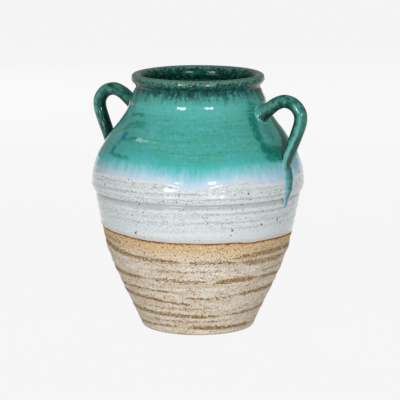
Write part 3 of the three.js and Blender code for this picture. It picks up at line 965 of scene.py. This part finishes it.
class VASE_OT_lower_section(bpy.types.Operator):
    """Throw the lower half, from the foot up to the seam"""
    bl_idname = "vase.lower_section"
    bl_label = "Lower section"

    def execute(self, context):
        sizes = context.scene.vase_throwing
        wall = Wall(LOWER_OUTLINE)
        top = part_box("upper_section")[0].z + sizes.seam_lap
        standing = wall.radii[0] - sizes.foot_rounding
        recess = standing - sizes.foot_ring
        arc = [(standing + sizes.foot_rounding * sin(a), sizes.foot_rounding * (1 - cos(a)))
               for a in np.linspace(0, pi / 2, FOOT_POINTS)]
        edge_low, edge_high = (z * MM for z in WHITE_GLAZE_EDGE)
        rows = [*np.arange(wall.low + sizes.row, edge_low, sizes.row),
                *np.arange(edge_low, edge_high, sizes.fine_row),
                *np.arange(edge_high, wall.high, sizes.row)]
        shoulder = wall.radii[-1]
        corner = sizes.floor + sizes.floor_corner
        inside = inner_line(wall, sizes.wall, corner, top, sizes.inner_row)
        edge = inside[-1][0]
        bend = [(edge - sizes.floor_corner * (1 - cos(a)), corner - sizes.floor_corner * sin(a))
                for a in np.linspace(0, pi / 2, CORNER_POINTS)]
        profile = [(0, sizes.foot_recess), (recess - sizes.recess_slope, sizes.foot_recess), (recess, 0)]
        profile += arc + [(wall.radius(z), z) for z in rows] + [(shoulder, wall.high)]
        profile += [(shoulder + SEAM_BULGE, wall.high + SEAM_RISE), (shoulder - SEAM_TAPER, top)]
        profile += inside + bend[1:] + [(0, sizes.floor)]
        bm = spin_profile(profile, sizes.columns)
        material = ware_material("thrown_ware_lower", context.scene)
        piece = finish_piece(bm, "thrown_lower_section", ["lower_section"], material)
        dress_wall(piece.data, sizes, wall)
        underside = sizes.floor / 2
        mark_finish(piece.data, lambda r, z: ((r < wall.radius(z) - SKIN) & (z > underside)).astype(float))
        return {"FINISHED"}


class VASE_OT_upper_section(bpy.types.Operator):
    """Throw the upper half, with the belly, the shoulder and the neck"""
    bl_idname = "vase.upper_section"
    bl_label = "Upper section"

    def execute(self, context):
        sizes = context.scene.vase_throwing
        wall = Wall(UPPER_OUTLINE)
        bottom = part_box("upper_section")[0].z + sizes.seam_gap
        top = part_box("rim_collar")[0].z
        under = wall.radii[0]
        rows = np.arange(wall.low, wall.high, sizes.row)
        profile = [(under - inwards * MM, bottom + rise * MM) for inwards, rise in OVERHANG]
        profile += [(wall.radius(z), z) for z in rows] + [(wall.radii[-1], top)]
        profile += inner_line(wall, sizes.wall, wall.low, top, sizes.inner_row)
        profile += [(under - sizes.wall, bottom)]
        bm = spin_profile(profile, sizes.columns)
        material = ware_material("thrown_ware_upper", context.scene)
        piece = finish_piece(bm, "thrown_upper_section", ["upper_section"], material)
        dress_wall(piece.data, sizes, wall)
        mark_finish(piece.data, lambda r, z: (r < wall.radius(z) - SKIN).astype(float))
        return {"FINISHED"}


class VASE_OT_rim_collar(bpy.types.Operator):
    """Throw the rim with its groove and its rolled lip"""
    bl_idname = "vase.rim_collar"
    bl_label = "Rim collar"

    def execute(self, context):
        sizes = context.scene.vase_throwing
        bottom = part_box("rim_collar")[0].z
        outline = smooth_line([(r * MM, z * MM, 0) for r, z in LIP_OUTLINE], LIP_STEPS)
        profile = [(p.x, p.y) for p in outline] + [(outline[-1].x, bottom)]
        bm = spin_profile(profile, sizes.columns)
        material = ware_material("thrown_ware_rim", context.scene, shine=0.16)
        piece = finish_piece(bm, "thrown_rim_collar", ["rim_collar"], material)
        spots = places(piece.data)
        angle = front_angles(spots[:, 0], spots[:, 1])
        height = spots[:, 2]
        ease = smoothstep(bottom, bottom + RIM_EASE, height)
        lean = sizes.lean * ease * drift(angle + 2 * height / MM, 6.1)
        grown = 1 + lean / np.hypot(spots[:, 0], spots[:, 1])
        spots[:, 0] *= grown
        spots[:, 1] *= grown
        spots[:, 2] -= sizes.rim_dip * ease * (1 + drift(angle, 7.7))
        piece.data.vertices.foreach_set("co", spots.ravel())
        mark_finish(piece.data, lambda r, z: smoothstep(*LIP_CREST, r))
        return {"FINISHED"}


def bridge_rings(bm, rings, closed):
    """Joins rings of points one after the other, and the last to the first where the form is closed."""
    loops = [list({edge for vert in ring for edge in vert.link_edges}) for ring in rings]
    pairs = list(zip(loops, loops[1:]))
    if closed:
        pairs.append((loops[-1], loops[0]))
    for a, b in pairs:
        bmesh.ops.bridge_loops(bm, edges=a + b)
    if not closed:
        bmesh.ops.contextual_create(bm, geom=loops[0])
        bmesh.ops.contextual_create(bm, geom=loops[-1])
    bmesh.ops.recalc_face_normals(bm, faces=bm.faces[:])


def pulled_waves(far, facing):
    """Slow and quick waves between -1 and 1 that a potter's pull leaves along a bar."""
    return 0.6 * sin(far / 7.0 + 2.0) + 0.4 * sin(far / 3.1 + 5.0 * facing)


def pulled_bar(sizes):
    """One handle as a bar of rings along its route, with each point's place on it."""
    bm = bmesh.new()
    line = smooth_line([(x * MM, y * MM, z * MM) for x, y, z, _, _ in HANDLE_ROUTE], sizes.steps)
    girth = smooth_line([(w * MM, t * MM, 0) for _, _, _, w, t in HANDLE_ROUTE], sizes.steps)
    along_layer = bm.verts.layers.float.new("along")
    facing_layer = bm.verts.layers.float.new("facing")
    side_layer = bm.verts.layers.float.new("side")
    rings = []
    travelled = 0.0
    for i, point in enumerate(line):
        before, after = line[max(i - 1, 0)], line[min(i + 1, len(line) - 1)]
        tangent = (after - before).normalized()
        out = Vector((-tangent.z, 0, tangent.x))
        travelled += (point - line[max(i - 1, 0)]).length
        turn = Matrix((out, Vector((0, 1, 0)), tangent)).transposed().to_4x4()
        width, thickness = girth[i].x / 2, girth[i].y / 2
        strap = float(smoothstep(*STRAP_SPAN, travelled / MM))
        ring = bmesh.ops.create_circle(bm, segments=sizes.sides, radius=1.0)["verts"]
        for vert in ring:
            facing = vert.co.x
            vert[along_layer] = travelled / MM
            vert[facing_layer] = facing
            vert[side_layer] = vert.co.y
            vert.co *= 1 + strap * sizes.ridge * max(0.0, facing) ** RIDGE_POWER
        bmesh.ops.scale(bm, vec=(thickness, width, 1), verts=ring)
        bmesh.ops.transform(bm, matrix=Matrix.Translation(point) @ turn, verts=ring)
        rings.append(ring)
    bridge_rings(bm, rings, closed=False)
    for vert in bm.verts:
        far = vert[along_layer]
        vert.co.y *= 1 + sizes.swell * pulled_waves(far, vert[facing_layer])
        vert.co += sizes.unevenness * sin(far / 9.0) * Vector((1, 0, 1))
    return bm


def joint_bead(sizes):
    """A bead of clay pressed round the upper joint, where the bar goes into the neck."""
    wall = Wall(UPPER_OUTLINE)
    (x_a, _, z_a, girth, _), (x_b, _, z_b, _, _) = HANDLE_ROUTE[1:3]
    start = Vector((x_a, 0, z_a)) * MM
    axis = (Vector((x_b, 0, z_b)) * MM - start).normalized()
    out = Vector((-axis.z, 0, axis.x))
    side = Vector((0, 1, 0))
    spots = []
    for a in np.linspace(0, 2 * pi, BEAD_POINTS, endpoint=False):
        reach = start + girth / 2 * MM * (cos(a) * out + sin(a) * side)
        low, high = BEAD_SEARCH
        for _ in range(BEAD_HALVINGS):
            middle = (low + high) / 2
            spot = reach + middle * axis
            if hypot(spot.x, spot.y) < wall.radius(spot.z):
                low = middle
            else:
                high = middle
        spots.append(spot)
    bm = bmesh.new()
    rings = []
    for i, spot in enumerate(spots):
        along = (spots[(i + 1) % len(spots)] - spots[i - 1]).normalized()
        turn = along.to_track_quat("Z", "X").to_matrix().to_4x4()
        radius = sizes.joint_bead * (1 + sizes.bead_change * sin(2 * pi * BEAD_WAVES * i / BEAD_POINTS))
        ring = bmesh.ops.create_circle(bm, segments=BEAD_SIDES, radius=radius)["verts"]
        bmesh.ops.transform(bm, matrix=Matrix.Translation(spot) @ turn, verts=ring)
        rings.append(ring)
    bridge_rings(bm, rings, closed=True)
    return bm


class VASE_OT_handles(bpy.types.Operator):
    """Pull the two handles, from the neck over a bend and down to the shoulder, and press their joints"""
    bl_idname = "vase.handles"
    bl_label = "Handles"

    def execute(self, context):
        sizes = context.scene.vase_handles
        glazed_bar = handle_material("pulled_handle_glaze", context.scene)
        pressed_clay = joint_material("pressed_joint_glaze", context.scene)
        for word, turn in (("right", 0.0), ("left", pi)):
            to_side = Matrix.Rotation(turn, 3, "Z")
            bar = pulled_bar(sizes)
            bmesh.ops.rotate(bar, cent=(0, 0, 0), matrix=to_side, verts=bar.verts[:])
            finish_piece(bar, f"pulled_handle_{word}", [f"handle_{word}"], glazed_bar)
            bead = joint_bead(sizes)
            bmesh.ops.rotate(bead, cent=(0, 0, 0), matrix=to_side, verts=bead.verts[:])
            finish_piece(bead, f"handle_joint_{word}", [], pressed_clay)
        return {"FINISHED"}


class VASE_OT_glaze_run(bpy.types.Operator):
    """Let the glaze run down the belly under the right handle"""
    bl_idname = "vase.glaze_run"
    bl_label = "Glaze run"

    def execute(self, context):
        lower, upper = Wall(LOWER_OUTLINE), Wall(UPPER_OUTLINE)
        line = np.array(smooth_line([(a, z, 0) for a, z, _, _ in RUN_ROUTE], RUN_STEPS))
        girth = np.array(smooth_line([(w, p, 0) for _, _, w, p in RUN_ROUTE], RUN_STEPS))
        bm = bmesh.new()
        across_layer = bm.verts.layers.float.new("across")
        bmesh.ops.create_grid(bm, x_segments=RUN_COLUMNS, y_segments=len(line) - 1, size=1.0)
        across = np.array([vert.co.x for vert in bm.verts])
        row = np.array([round((1 - vert.co.y) / 2 * (len(line) - 1)) for vert in bm.verts])
        height = line[row, 1]
        over_seam = smoothstep(*SEAM_SPAN, height)
        even = upper.radius(height * MM) * over_seam + lower.radius(height * MM) * (1 - over_seam)
        angle = line[row, 0] + np.degrees(across * girth[row, 0] * MM / even)
        wall = even + relief(context.scene.vase_throwing, angle, height)
        threads = sum(share * hump(across, middle, width) for share, middle, width in RUN_THREADS)
        rise = girth[row, 1] * threads - RUN_TUCK * across ** TUCK_POWER
        radius = wall + (RUN_FILM + rise) * MM
        bearing = np.radians(angle + FRONT_AZIMUTH - 90)
        spots = np.column_stack((radius * np.cos(bearing), radius * np.sin(bearing), height * MM))
        for vert, share, spot in zip(bm.verts, across, spots):
            vert[across_layer] = share
            vert.co = spot
        bmesh.ops.recalc_face_normals(bm, faces=bm.faces[:])
        finish_piece(bm, "glaze_run", [], run_material("running_glaze", context.scene))
        return {"FINISHED"}


def floor_material(studio):
    """Pale paper that the camera and every reflection see alike, with the shadow of the vase kept on it."""
    recipe = Recipe("studio_paper")
    seen = recipe.node("LightPath", {}).outputs
    direct = recipe.math("MAXIMUM", seen["Is Camera Ray"], seen["Is Glossy Ray"])
    direct = recipe.math("MAXIMUM", direct, seen["Is Transmission Ray"])
    paper = recipe.node("BsdfDiffuse", {"Color": studio.paper})
    glow = recipe.node("Emission", {"Color": (1.0, 1.0, 1.0), "Strength": studio.floor_glow})
    blend = recipe.node("MixShader", {0: recipe.math("MULTIPLY", direct, 1 - studio.floor_shade)})
    recipe.tree.links.new(paper.outputs[0], blend.inputs[1])
    recipe.tree.links.new(glow.outputs[0], blend.inputs[2])
    output = recipe.node("OutputMaterial", {})
    recipe.tree.links.new(blend.outputs[0], output.inputs["Surface"])
    return recipe.material


def place_at(azimuth, elevation, distance, target):
    """A place seen from the target at an azimuth from the frame's front and an elevation."""
    level = cos(elevation)
    return target + distance * Vector((sin(azimuth) * level, -cos(azimuth) * level, sin(elevation)))


def aim(thing, spot, target):
    thing.location = spot
    thing.rotation_euler = (target - spot).to_track_quat("-Z", "Y").to_euler()


class VASE_OT_studio(bpy.types.Operator):
    """Set up the floor, the four softboxes, the even surroundings and the camera"""
    bl_idname = "vase.studio"
    bl_label = "Studio"

    def execute(self, context):
        scene = context.scene
        studio = scene.vase_studio
        middle = Vector((0, 0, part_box("rim_collar")[1].z / 2))
        front = radians(FRONT_AZIMUTH)

        bm = bmesh.new()
        bmesh.ops.create_circle(bm, cap_ends=True, segments=FLOOR_SIDES, radius=studio.floor_radius)
        mesh = bpy.data.meshes.new("studio_floor")
        bm.to_mesh(mesh)
        bm.free()
        mesh.materials.append(floor_material(studio))
        floor = bpy.data.objects.new("studio_floor", mesh)
        scene.collection.objects.link(floor)

        left, right = -studio.left_swing, studio.right_swing
        swings = {"left": left, "right": right, "back_left": pi + right, "back_right": pi + left}
        for word, swing in swings.items():
            lamp = bpy.data.lights.new(f"softbox_{word}", "AREA")
            lamp.shape = "RECTANGLE"
            lamp.size = studio.softbox_width
            lamp.size_y = studio.softbox_height
            behind = word.startswith("back")
            lamp.energy = studio.softbox_power * (studio.back_share if behind else 1.0)
            holder = bpy.data.objects.new(lamp.name, lamp)
            holder.visible_glossy = not behind
            scene.collection.objects.link(holder)
            aim(holder, place_at(front + swing, studio.softbox_rise, studio.softbox_distance, middle), middle)

        world = bpy.data.worlds.new("even_surroundings")
        scene.world = world
        world.use_nodes = True
        sky = world.node_tree.nodes["Background"]
        sky.inputs["Color"].default_value = (1.0, 1.0, 1.0, 1.0)
        sky.inputs["Strength"].default_value = studio.surroundings

        camera = bpy.data.cameras.new("camera")
        camera.sensor_width = studio.sensor
        camera.lens = studio.lens
        camera.shift_x = studio.shift_right
        camera.shift_y = studio.shift_up
        camera.clip_end = 100.0
        holder = bpy.data.objects.new("camera", camera)
        scene.collection.objects.link(holder)
        aim(holder, place_at(front, studio.camera_rise, studio.camera_distance, middle), middle)
        scene.camera = holder
        scene.view_settings.view_transform = "Standard"
        return {"FINISHED"}


class VASE_PT_builder(bpy.types.Panel):
    """Lists the steps of the vase with their sizes and colours"""
    bl_label = "Vase"
    bl_space_type = "VIEW_3D"
    bl_region_type = "UI"
    bl_category = "Vase"

    def draw(self, context):
        for step in STEPS:
            self.layout.operator(step.bl_idname)
        for name, group in SETTINGS.items():
            box = self.layout.box()
            box.label(text=group.__doc__)
            for key in group.__annotations__:
                box.prop(getattr(context.scene, name), key)


STEPS = (
    VASE_OT_studio,
    VASE_OT_lower_section,
    VASE_OT_upper_section,
    VASE_OT_rim_collar,
    VASE_OT_handles,
    VASE_OT_glaze_run,
)
CLASSES = (*SETTINGS.values(), *STEPS, VASE_PT_builder)


def register():
    for cls in CLASSES:
        bpy.utils.register_class(cls)
    for name, group in SETTINGS.items():
        setattr(bpy.types.Scene, name, PointerProperty(type=group))


def unregister():
    for name in SETTINGS:
        delattr(bpy.types.Scene, name)
    for cls in reversed(CLASSES):
        bpy.utils.unregister_class(cls)


def main():
    register()
    for step in STEPS:
        group, action = step.bl_idname.split(".")
        getattr(getattr(bpy.ops, group), action)()


if __name__ == "__main__":
    main()
